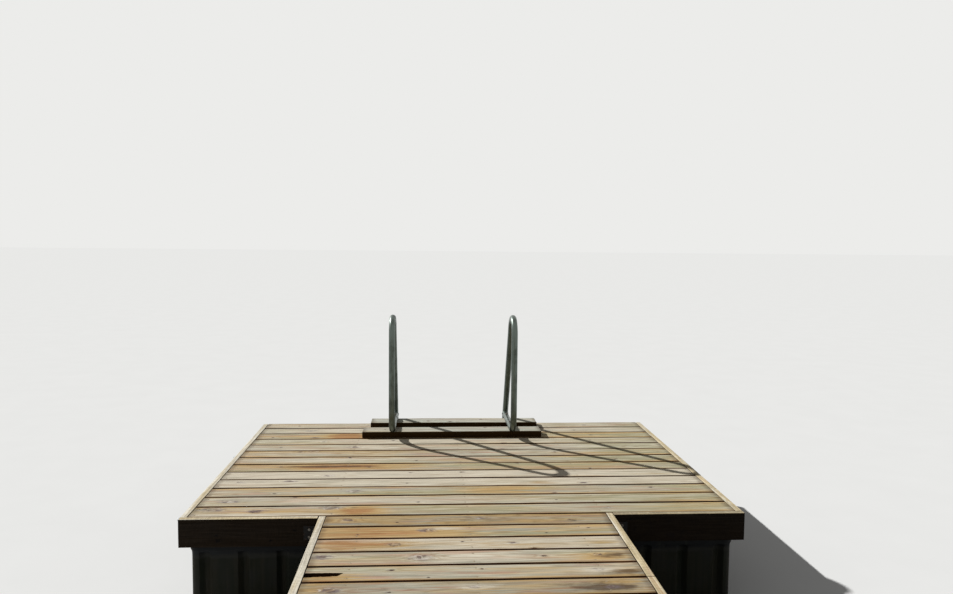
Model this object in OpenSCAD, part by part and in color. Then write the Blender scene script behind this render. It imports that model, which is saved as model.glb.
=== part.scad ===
// Floating wooden bathing jetty: a decked platform, a gangway that runs on in
// bays towards the shore, and a swim ladder with two tubular handrails.
// +Z is up and Z = 0 is the underside of the floats. +Y leads away from the
// shore, towards the ladder. X = 0 is the middle of the platform.

/* [Boards] */
// Width of one deck board
board_w = 120; // [90:1:150]
// Thickness of the deck boards
board_t = 28; // [20:1:45]
// Open gap between neighbouring deck boards
board_gap = 8; // [3:1:14]
// Gap between the ends of the deck boards and the side rims
end_gap = 3; // [1:0.5:8]
// Planed-off corner along each board
board_ease = 2; // [0.5:0.5:5]

/* [Rims] */
// Thickness of the rim boards that close the sides
rim_t = 28; // [20:1:45]
// Height of the rim boards, their tops level with the deck
rim_h = 120; // [90:1:145]

/* [Frame] */
// Width of the joists and cross beams
joist_w = 45; // [36:1:70]
// Height of the joists and cross beams
joist_h = 95; // [70:1:145]
// Number of joists under the platform
platform_joist_count = 5; // [3:1:7]
// Distance of the outer gangway joists from its middle
gangway_joist_x = 445; // [300:5:500]

/* [Platform] */
// Width of the platform over its side rims
platform_w = 2400; // [1800:10:3200]
// Number of boards across the platform
platform_boards_n = 13; // [8:1:20]

/* [Gangway] */
// Width of the gangway over its side rims
gangway_w = 1250; // [1150:2:1600]
// Number of boards in one bay
bay_boards_n = 9; // [6:1:12]
// Number of whole bays
bays = 3; // [2:1:6]
// Distance from the platform's boards to the butt joint in the right side rim
side_joint = 640; // [400:5:1000]
// Clearance in that butt joint
joint_gap = 0.8; // [0.3:0.1:2]

/* [Missing sliver] */
// Which gangway board has lost a sliver, counted from the platform
sliver_board = 5; // [2:1:8]
// Length of the missing sliver, from the board's left end
sliver_l = 137; // [60:1:250]
// Width of the missing sliver
sliver_w = 36; // [15:1:45]
// How far the sliver lies from the board's far edge
sliver_in = 48; // [30:1:60]

/* [Floats] */
// Height of the platform floats
float_h = 300; // [200:5:450]
// Width of a platform float
float_w = 620; // [500:5:800]
// How far the floats stand in from the rims
float_inset = 30; // [29:1:80]
// Length of a gangway float across the gangway
gangway_float_l = 1080; // [1000:5:1140]
// Depth of a gangway float along the gangway
gangway_float_d = 560; // [400:5:700]
// Corner radius of the floats
float_r = 44; // [40:1:110]
// Height of the bolting flange round the top of a float
flange_h = 26; // [15:1:50]
// How far the flange stands out from the float's body
flange_out = 6; // [4:1:30]
// Radius of the grooves moulded into the float's sides
groove_r = 18; // [8:1:26]
// Distance between the moulded grooves
groove_pitch = 160; // [120:5:240]
// Chamfer round the lower edge of the floats
float_chamfer = 22; // [5:1:40]

/* [Ladder] */
// Outer diameter of the handrail tube
tube_d = 36; // [28:1:48]
// Distance between the two handrails, middle to middle
rail_spacing = 703; // [500:1:850]
// How far the ladder stands left of the platform's middle
ladder_left = 26; // [0:1:200]
// Height of the handrails' tops above the deck
rail_top = 730; // [550:5:1000]
// Distance from the platform's far edge back to the upright legs
rail_setback = 470; // [400:5:600]
// Lean of the ladder's sloping legs from upright, in degrees
ladder_lean = 27.2; // [24:0.1:32]
// Middle radius of the top bends
top_bend_r = 100; // [70:1:110]
// Middle radius of the bends at the feet of the upright legs
foot_bend_r = 110; // [60:1:130]
// Height of the ladder's lower ends above the floats' underside
ladder_end = 0.5; // [0:0.5:60]
// Length of the rubber caps on those ends
cap_l = 12; // [8:1:30]
// Wall of the rubber caps
cap_wall = 2; // [1:0.5:4]

/* [Ladder treads] */
// Number of treads
tread_n = 2; // [1:1:2]
// Depth of a tread from front to back
tread_d = 84; // [60:1:110]
// Height of a tread's folded lips
tread_h = 25; // [18:1:34]
// Wall thickness of a tread
tread_t = 3; // [2:0.5:4]
// Depth of the top tread below the deck
first_tread = 140; // [100:5:180]
// Distance from one tread down to the next
tread_pitch = 235; // [190:5:240]
// Number of raised grip ribs on a tread
rib_n = 5; // [3:1:6]
// Width of a grip rib
rib_w = 5; // [3:0.5:8]
// Height of a grip rib
rib_h = 2; // [1:0.5:4]
// Clearance between a tread's ends and the tubes
weld_gap = 0.3; // [0.2:0.1:1]

/* [Ladder planks] */
// Width of the planks that the ladder stands on
plank_w = 120; // [90:1:150]
// Thickness of those planks
plank_t = 36; // [25:1:50]
// Length of the front plank
front_plank_l = 1060; // [950:5:1300]
// Length of the rear plank
rear_plank_l = 1030; // [950:5:1300]
// Distance from the platform's far edge to the front plank
front_plank_in = 246; // [220:1:260]
// Distance from the platform's far edge to the rear plank
rear_plank_in = 17; // [5:1:60]
// Sideways shift of the rear plank against the ladder
rear_plank_shift = 18; // [-60:1:60]

/* [Mooring eyes] */
// Radius of the mooring eye's bore
eye_r = 9; // [6:0.5:14]
// Thickness of the eye and of its back plate
eye_t = 8; // [5:1:14]
// Outer radius of the eye's rounded end
eye_out_r = 26; // [22:1:34]
// Distance from the rim to the bore's middle
eye_reach = 32; // [30:1:60]
// Height of the back plate
eye_plate_h = 70; // [50:1:85]
// Depth of the eye's middle below the deck
eye_drop = 62; // [50:1:70]
// Distance from the platform's shore edge to the near eye
near_eye_y = 180; // [120:5:400]
// Distance from the platform's shore edge to the far eye
far_eye_y = 1150; // [900:5:1300]

/* [Shore end] */
// Radius of the bolt holes in the landing beam
bolt_r = 7; // [5:0.5:10]
// Sideways distance between the bolt holes
bolt_x = 700; // [500:10:800]
// Upright distance between the bolt holes
bolt_z = 50; // [30:1:55]

/* [Gangway brackets] */
// Leg length of the angle brackets that tie the gangway to the platform
bracket_leg = 60; // [45:1:120]
// Thickness of the angle brackets
bracket_t = 6; // [4:0.5:10]
// Height of the angle brackets
bracket_h = 60; // [40:1:85]
// Depth of the brackets' tops below the platform deck
bracket_drop = 32; // [15:1:35]

/* [Hidden] */
$fn = 48;

// Boards and decks
pitch = board_w + board_gap;
deck_d = platform_boards_n * pitch - board_gap;
platform_d = rim_t + deck_d;
bay_l = bay_boards_n * pitch;
gangway_l = bays * bay_l;
deck_z = float_h + joist_h + board_t;
frame_z = float_h;
platform_in_w = platform_w - 2 * rim_t;
gangway_in_w = gangway_w - 2 * rim_t;

// Handrail tube, in the upright plane of each rail
tube_r = tube_d / 2;
cap_r = tube_r + cap_wall;
foot_z = deck_z + plank_t + tube_r;
top_bend_z = deck_z + rail_top - tube_r - top_bend_r;
cap_z = ladder_end + cap_r * sin(ladder_lean);
leg_end_z = cap_z + cap_l * cos(ladder_lean);

// How far the middle of the sloping legs lies behind the deck's far edge
leg_top_back = top_bend_r * (1 + cos(ladder_lean)) - rail_setback;
leg_top_z = top_bend_z + top_bend_r * sin(ladder_lean);
function leg_back(z) = leg_top_back + (leg_top_z - z) * tan(ladder_lean);

function tread_z(k) = deck_z - first_tread - k * tread_pitch;
ladder_back = max(
    leg_back(cap_z) + cap_r * cos(ladder_lean),
    leg_back(tread_z(tread_n - 1)) + tread_d / 2
);

// The jetty's length runs from the landing beam to the back of the ladder, and
// the origin is under the middle of it. The platform's boards start at deck_y,
// and the gangway's boards carry on from there at the same pitch.
deck_y = (gangway_l - deck_d - ladder_back) / 2;
front_y = deck_y - rim_t;
far_y = deck_y + deck_d;
rail_y = far_y - rail_setback;
leg_top_y = far_y + leg_top_back;
ladder_x = -ladder_left;

// Y of the sloping leg's middle at height z
function leg_y(z) = far_y + leg_back(z);

module timber() { color("#b9a582") children(); }
module pale_timber() { color("#d8ceb0") children(); }
module galvanised() { color("#a9adb0") children(); }
module painted_steel() { color("#33383a") children(); }
module tube_metal() { color("#c9ccc9") children(); }
module float_plastic() { color("#3b4145") children(); }

// Section of a board with its four long corners eased
module eased_section(w, t, ease) {
    polygon([
        [ease, 0], [w - ease, 0], [w, ease], [w, t - ease],
        [w - ease, t], [ease, t], [0, t - ease], [0, ease]
    ]);
}

// Board along X, from x, y, z: length l, width w along Y, thickness t
module board_x(x, y, z, l, w, t) {
    translate([x, y, z])
        rotate([90, 0, 90])
            linear_extrude(l) eased_section(w, t, board_ease);
}

// Board along Y, from x, y, z: length l, width w along X, thickness t
module board_y(x, y, z, l, w, t) {
    translate([x, y + l, z])
        rotate([90, 0, 0])
            linear_extrude(l) eased_section(w, t, board_ease);
}

module platform_boards() {
    timber()
        for (k = [0:platform_boards_n - 1])
            board_x(-platform_in_w / 2 + end_gap, deck_y + k * pitch,
                deck_z - board_t, platform_in_w - 2 * end_gap, board_w, board_t);
}

// Two lengths, one on each side of the gangway
module platform_front_rim() {
    l = (platform_w - gangway_w) / 2 - end_gap;
    pale_timber()
        for (x = [-platform_w / 2, platform_w / 2 - l])
            board_x(x, front_y, deck_z - rim_h, l, rim_t, rim_h);
}

// Ripped down, because the last deck board lies over it
module platform_back_rim() {
    timber()
        board_x(-platform_in_w / 2, far_y - rim_t, deck_z - rim_h,
            platform_in_w, rim_t, rim_h - board_t);
}

module platform_side_rim(side) {
    pale_timber()
        board_y(side * (platform_w - rim_t) / 2 - rim_t / 2, deck_y,
            deck_z - rim_h, deck_d, rim_t, rim_h);
}

module platform_joists() {
    first_x = -(platform_in_w - joist_w) / 2;
    step = -2 * first_x / (platform_joist_count - 1);
    timber()
        for (k = [0:platform_joist_count - 1])
            translate([first_x + k * step - joist_w / 2, deck_y + joist_w, frame_z])
                cube([joist_w, deck_d - rim_t - 2 * joist_w, joist_h]);
}

module platform_beam(y) {
    timber()
        translate([-platform_in_w / 2, y, frame_z])
            cube([platform_in_w, joist_w, joist_h]);
}

// Flat outline with round corners, centred
module round_outline(l, w, r) {
    square([l, w - 2 * r], center = true);
    square([l - 2 * r, w], center = true);
    for (sx = [-1, 1])
        for (sy = [-1, 1])
            translate([sx * (l / 2 - r), sy * (w / 2 - r)]) circle(r);
}

// Body of a float, h high: its outline has the corner radius r, and its lower
// edge is chamfered by c. Four turned corners and two crossing profiles make it.
module float_body(l, d, h, r, c) {
    for (sx = [-1, 1])
        for (sy = [-1, 1])
            translate([sx * (l / 2 - r), sy * (d / 2 - r), 0])
                rotate_extrude()
                    polygon([[0, 0], [r - c, 0], [r, c], [r, h], [0, h]]);
    rotate([90, 0, 90])
        linear_extrude(l - 2 * r, center = true) chamfered_profile(d, h, c);
    rotate([90, 0, 0])
        linear_extrude(d - 2 * r, center = true) chamfered_profile(l, h, c);
}

module chamfered_profile(w, h, c) {
    polygon([[c - w / 2, 0], [w / 2 - c, 0], [w / 2, c], [w / 2, h], [-w / 2, h], [-w / 2, c]]);
}

// Upright grooves in the four sides of a float's body, l along X and d along Y
module float_grooves(l, d, h) {
    ends = 2 * (float_r + groove_r);
    long_n = floor((l - ends) / groove_pitch);
    side_n = floor((d - ends) / groove_pitch);
    translate([0, 0, -1])
        for (s = [-1, 1]) {
            for (k = [0:long_n])
                translate([(k - long_n / 2) * groove_pitch, s * d / 2, 0])
                    cylinder(h = h + 1, r = groove_r);
            for (k = [0:side_n])
                translate([s * l / 2, (k - side_n / 2) * groove_pitch, 0])
                    cylinder(h = h + 1, r = groove_r);
        }
}

// Moulded float, l along X and d along Y, with a bolting flange round its top.
// Its underside is at Z = 0.
module moulded_float(l, d, h) {
    body_l = l - 2 * flange_out;
    body_d = d - 2 * flange_out;
    float_plastic() {
        translate([0, 0, h - flange_h])
            linear_extrude(flange_h) round_outline(l, d, float_r);
        difference() {
            float_body(body_l, body_d, h, float_r, float_chamfer);
            float_grooves(body_l, body_d, h - flange_h);
        }
    }
}

module platform_float(side) {
    translate([side * (platform_w / 2 - float_inset - float_w / 2), front_y + platform_d / 2, 0])
        moulded_float(float_w, platform_d - 2 * float_inset, float_h);
}

// A sliver is missing from the left end of one board of the first bay
module missing_sliver() {
    x = -gangway_in_w / 2;
    y = deck_y - (sliver_board - 1) * pitch - board_gap - sliver_in;
    translate([x, y, deck_z - 2 * board_t])
        linear_extrude(3 * board_t)
            polygon([
                [0, 0], [sliver_l, -sliver_w * 0.1],
                [sliver_l * 0.86, -sliver_w * 0.85], [0, -sliver_w]
            ]);
}

module gangway_boards(bay) {
    bay_y = deck_y - (bay - 1) * bay_l;
    timber()
        difference() {
            for (k = [1:bay_boards_n])
                board_x(-gangway_in_w / 2 + end_gap, bay_y - k * pitch,
                    deck_z - board_t, gangway_in_w - 2 * end_gap, board_w, board_t);
            if (bay == 1) missing_sliver();
        }
}

// Joists of one bay, between its two cross beams
module gangway_joists(bay) {
    platform_end_y = deck_y - (bay - 1) * bay_l - joist_w / (bay == 1 ? 1 : 2);
    shore_end_y = deck_y - bay * bay_l + joist_w / (bay == bays ? 1 : 2);
    timber()
        for (x = [-gangway_joist_x, 0, gangway_joist_x])
            translate([x - joist_w / 2, shore_end_y, frame_z])
                cube([joist_w, platform_end_y - shore_end_y, joist_h]);
}

// One cross beam bolted to the platform's front beam, and one between each pair
// of bays
module gangway_cross_beams() {
    timber()
        for (k = [0:bays - 1])
            translate([-gangway_in_w / 2, deck_y - k * bay_l - joist_w / (k == 0 ? 1 : 2),
                frame_z])
                cube([gangway_in_w, joist_w, joist_h]);
}

// Beam across the shore end, drilled for the bolts that hold it ashore
module landing_beam() {
    timber()
        translate([0, deck_y - gangway_l, frame_z])
            difference() {
                translate([-gangway_in_w / 2, 0, 0]) cube([gangway_in_w, joist_w, joist_h]);
                for (sx = [-1, 1])
                    for (sz = [-1, 1])
                        translate([sx * bolt_x / 2, -1, joist_h / 2 + sz * bolt_z / 2])
                            rotate([-90, 0, 0]) cylinder(h = joist_w + 2, r = bolt_r);
            }
}

module gangway_float(bay) {
    translate([0, deck_y - (bay - 0.5) * bay_l, 0])
        moulded_float(gangway_float_l, gangway_float_d, float_h);
}

// Length l of a side rim of the gangway, its far end at y
module gangway_rim(side, y, l) {
    pale_timber()
        board_y(side * (gangway_w - rim_t) / 2 - rim_t / 2, y - l,
            deck_z - rim_h, l, rim_t, rim_h);
}

// The rims run in between the platform's front rims, as far as its first board
module gangway_left_rim() {
    gangway_rim(-1, deck_y - end_gap, gangway_l - end_gap);
}

// The right rim is two lengths with a butt joint
module gangway_right_rim() {
    gangway_rim(1, deck_y - end_gap, side_joint - end_gap);
    gangway_rim(1, deck_y - side_joint - joint_gap, gangway_l - side_joint - joint_gap);
}

module gangway_brackets() {
    painted_steel()
        for (side = [-1, 1])
            translate([side * gangway_w / 2, front_y, deck_z - bracket_drop - bracket_h])
                mirror([side < 0 ? 1 : 0, 0, 0])
                    linear_extrude(bracket_h)
                        polygon([
                            [0, 0], [bracket_leg, 0], [bracket_leg, -bracket_t],
                            [bracket_t, -bracket_t], [bracket_t, -bracket_leg], [0, -bracket_leg]
                        ]);
}

module ladder_plank(x, in_from_edge, l) {
    timber()
        board_x(x - l / 2, far_y - in_from_edge - plank_w, deck_z, l, plank_w, plank_t);
}

// Straight tube in the upright plane x = 0
module tube_between(y1, z1, y2, z2, r) {
    dy = y2 - y1;
    dz = z2 - z1;
    translate([0, y1, z1])
        rotate([-atan2(dy, dz), 0, 0])
            cylinder(h = norm([dy, dz]), r = r);
}

// Bent tube in the upright plane x = 0, round y, z, from angle a through sweep
module tube_bend(y, z, bend_r, a, sweep) {
    translate([0, y, z])
        rotate([90, 0, 90])
            rotate([0, 0, a])
                rotate_extrude(angle = sweep) translate([bend_r, 0]) circle(tube_r);
}

// Puts a piece in the plane of one handrail
module at_rail(side) {
    translate([ladder_x + side * rail_spacing / 2, 0, 0]) children();
}

// The sloping leg's tube, from the top bend down to height z
module sloping_tube(z, r) {
    tube_between(leg_top_y, leg_top_z, leg_y(z), z, r);
}

// Bent tube: along the planks, up, and over to the end of the top bend. Its
// foot is cut to sit against the sloping leg.
module handrail(side) {
    tube_metal()
        at_rail(side)
            difference() {
                union() {
                    tube_between(rail_y + foot_bend_r, foot_z, leg_y(foot_z), foot_z, tube_r);
                    tube_bend(rail_y + foot_bend_r, foot_z + foot_bend_r, foot_bend_r, 180, 90);
                    tube_between(rail_y, foot_z + foot_bend_r, rail_y, top_bend_z, tube_r);
                    tube_bend(rail_y + top_bend_r, top_bend_z, top_bend_r,
                        ladder_lean, 180 - ladder_lean);
                }
                tube_between(leg_y(foot_z + tube_d * 2), foot_z + tube_d * 2,
                    leg_y(foot_z - tube_d * 2), foot_z - tube_d * 2, tube_r + weld_gap);
            }
}

// Straight tube that carries on from the top bend, past the deck's far edge
module ladder_leg(side) {
    tube_metal() at_rail(side) sloping_tube(leg_end_z, tube_r);
}

// Folded tread section in Y and Z, its top at Z = 0, with raised grip ribs
module tread_section() {
    translate([-tread_d / 2, -tread_t]) square([tread_d, tread_t]);
    for (s = [-1, 1])
        translate([s * (tread_d - tread_t) / 2 - tread_t / 2, -tread_h])
            square([tread_t, tread_h]);
    for (k = [0:rib_n - 1])
        translate([(k - (rib_n - 1) / 2) * tread_d / rib_n - rib_w / 2, -tread_t / 2])
            square([rib_w, rib_h + tread_t / 2]);
}

module ladder_treads() {
    tube_metal()
        difference() {
            for (k = [0:tread_n - 1])
                translate([ladder_x - rail_spacing / 2, leg_y(tread_z(k)), tread_z(k)])
                    rotate([90, 0, 90]) linear_extrude(rail_spacing) tread_section();
            for (side = [-1, 1])
                at_rail(side) sloping_tube(0, tube_r + weld_gap);
        }
}

module ladder_end_caps() {
    color("#2b2d2e")
        for (side = [-1, 1])
            at_rail(side)
                tube_between(leg_y(leg_end_z), leg_end_z, leg_y(cap_z), cap_z, cap_r);
}

// Back plate on the side rim with a level eye, drilled upright
module mooring_eye() {
    translate([0, -eye_out_r, -eye_plate_h / 2]) cube([eye_t, 2 * eye_out_r, eye_plate_h]);
    translate([0, 0, -eye_t / 2])
        difference() {
            union() {
                translate([eye_t / 2, -eye_out_r, 0])
                    cube([eye_reach - eye_t / 2, 2 * eye_out_r, eye_t]);
                translate([eye_reach, 0, 0]) cylinder(h = eye_t, r = eye_out_r);
            }
            translate([eye_reach, 0, -1]) cylinder(h = eye_t + 2, r = eye_r);
        }
}

module mooring_eyes(side) {
    galvanised()
        for (y = [near_eye_y, far_eye_y])
            translate([side * platform_w / 2, front_y + y, deck_z - eye_drop])
                mirror([side < 0 ? 1 : 0, 0, 0]) mooring_eye();
}

platform_boards();
platform_front_rim();
platform_back_rim();
platform_side_rim(-1);  // platform_left_rim
platform_side_rim(1);  // platform_right_rim
platform_joists();
platform_beam(deck_y);  // platform_front_beam
platform_beam(far_y - rim_t - joist_w);  // platform_back_beam
platform_float(-1);  // platform_left_float
platform_float(1);  // platform_right_float
for (bay = [1:bays]) {
    gangway_boards(bay);
    gangway_joists(bay);
    gangway_float(bay);
}
gangway_left_rim();
gangway_right_rim();
gangway_cross_beams();
gangway_brackets();
landing_beam();
ladder_plank(ladder_x, front_plank_in, front_plank_l);  // ladder_front_plank
ladder_plank(ladder_x + rear_plank_shift, rear_plank_in, rear_plank_l);  // ladder_rear_plank
handrail(-1);  // left_handrail
handrail(1);  // right_handrail
ladder_leg(-1);  // left_ladder_leg
ladder_leg(1);  // right_ladder_leg
ladder_treads();
ladder_end_caps();
mooring_eyes(-1);  // left_mooring_eyes
mooring_eyes(1);  // right_mooring_eyes
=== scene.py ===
"""Floating bathing jetty: the looks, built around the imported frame."""
from functools import partialmethod
from math import cos, degrees, pi, radians, sin, sqrt, tan

import bmesh
import bpy
import numpy as np
from mathutils import Matrix, Vector


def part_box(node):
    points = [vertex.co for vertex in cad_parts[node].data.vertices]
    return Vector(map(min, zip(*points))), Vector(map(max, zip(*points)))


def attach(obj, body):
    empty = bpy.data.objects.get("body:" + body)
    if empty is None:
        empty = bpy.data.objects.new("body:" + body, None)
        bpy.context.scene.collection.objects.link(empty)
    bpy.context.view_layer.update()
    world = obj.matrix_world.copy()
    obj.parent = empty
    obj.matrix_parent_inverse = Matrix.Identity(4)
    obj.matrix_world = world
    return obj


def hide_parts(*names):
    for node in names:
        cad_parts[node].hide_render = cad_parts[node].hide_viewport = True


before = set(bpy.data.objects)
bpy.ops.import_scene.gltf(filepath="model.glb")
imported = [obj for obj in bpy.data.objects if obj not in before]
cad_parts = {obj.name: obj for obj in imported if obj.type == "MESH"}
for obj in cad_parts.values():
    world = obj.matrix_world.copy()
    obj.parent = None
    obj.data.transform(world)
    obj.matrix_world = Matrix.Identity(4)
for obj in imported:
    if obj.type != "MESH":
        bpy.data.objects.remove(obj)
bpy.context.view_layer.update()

# Sizes of the real thing, in metres
BOARD_W = 0.120
BOARD_T = 0.028
BOARD_GAP = 0.008
PITCH = BOARD_W + BOARD_GAP
JOIST_W = 0.045
TUBE_R = 0.018
LEAN = radians(27.2)
TOP_BEND_R = 0.100
FOOT_BEND_R = 0.110
WATER = 0.245
BAYS = 3
X, Y, Z = Vector((1, 0, 0)), Vector((0, 1, 0)), Vector((0, 0, 1))


# Shader nodes

def srgb(r, g, b):
    """Colour written as on a screen, 0 to 255, in the renderer's linear values."""
    def linear(c):
        c /= 255
        return c / 12.92 if c < 0.04045 else ((c + 0.055) / 1.055) ** 2.4
    return (linear(r), linear(g), linear(b), 1)


def as_colour(colour):
    """What a mix takes: a field as it is, a triple as on a screen in linear values."""
    return colour if isinstance(colour, Field) else srgb(*colour)


class Field:
    """One output in a node tree. A sum written with it adds the nodes that work it out."""

    def __init__(self, nodes, socket):
        self.nodes, self.socket = nodes, socket

    def with_(self, operation, other):
        kind = "Math" if self.socket.type == "VALUE" else "VectorMath"
        return self.nodes.node(kind, self, other, operation=operation)

    __add__ = __radd__ = partialmethod(with_, "ADD")
    __sub__ = partialmethod(with_, "SUBTRACT")
    __mul__ = partialmethod(with_, "MULTIPLY")
    __truediv__ = partialmethod(with_, "DIVIDE")
    __pow__ = partialmethod(with_, "POWER")


class Nodes:
    """A node tree, with a short word for each kind of node."""

    def __init__(self, tree):
        self.tree = tree

    def make(self, kind, inputs, **settings):
        """Adds a node. Its inputs go by slot, each a field or a plain value."""
        n = self.tree.nodes.new("ShaderNode" + kind)
        for key, value in settings.items():
            setattr(n, key, value)
        for slot, value in inputs.items():
            self.put(n.inputs[slot], value)
        return n

    def put(self, slot, value):
        if isinstance(value, Field):
            self.tree.links.new(value.socket, slot)
        else:
            slot.default_value = value

    def node(self, kind, *inputs, output=0, **settings):
        """Adds a node with its first inputs filled, and gives one of its outputs."""
        return Field(self, self.make(kind, dict(enumerate(inputs)), **settings).outputs[output])

    def math(self, operation, *inputs):
        return self.node("Math", *inputs, operation=operation)

    def split(self, vector, kind="SeparateXYZ"):
        return [Field(self, s) for s in self.make(kind, {0: vector}).outputs]

    def smooth(self, value, low, high, out_low=0.0, out_high=1.0):
        return self.node("MapRange", value, low, high, out_low, out_high,
                         interpolation_type="SMOOTHSTEP")

    def noise(self, vector, scale, detail=3.0, rough=0.5, warp=0.0, output="Fac"):
        """Noise round 0.5 of a vector that is first stretched by scale."""
        n = self.make("TexNoise", {"Vector": vector * scale, "Scale": 1.0, "Detail": detail,
                                   "Roughness": rough, "Distortion": warp})
        return Field(self, n.outputs[output])

    def mix(self, share, a, b, blend="MIX"):
        """Mixes two colours, each a field or a triple as on a screen."""
        n = self.make("Mix", {"Factor": share, 6: as_colour(a), 7: as_colour(b)},
                      data_type="RGBA", blend_type=blend, clamp_factor=True)
        return Field(self, n.outputs[2])

    def attribute(self, name, output="Vector"):
        return self.node("Attribute", attribute_name=name, output=output)


class Material(Nodes):
    """One material, painted coat by coat over its first colour."""

    def __init__(self, name, colour):
        self.material = bpy.data.materials.new(name)
        self.material.use_nodes = True
        super().__init__(self.material.node_tree)
        self.shader = next(n for n in self.tree.nodes if n.type == "BSDF_PRINCIPLED").inputs
        self.at = self.node("TexCoord", output="Object")
        self.colour = colour

    def coat(self, share, colour, blend="MIX"):
        self.colour = self.mix(share, self.colour, colour, blend)

    def surface(self, roughness, metallic=0.0, specular=0.5):
        self.put(self.shader["Base Color"], self.colour)
        self.put(self.shader["Roughness"], roughness)
        self.shader["Metallic"].default_value = metallic
        self.shader["Specular IOR Level"].default_value = specular

    def bump(self, height, distance, strength):
        self.put(self.shader["Normal"], Field(self, self.make("Bump", {
            "Strength": strength, "Distance": distance, "Height": height}).outputs[0]))


# Timber

KNOT_SLOTS = ("knot_a", "knot_b", "knot_c", "knot_d")
MARK_KINDS = ("honey", "dark", "pale", "violet")


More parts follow.
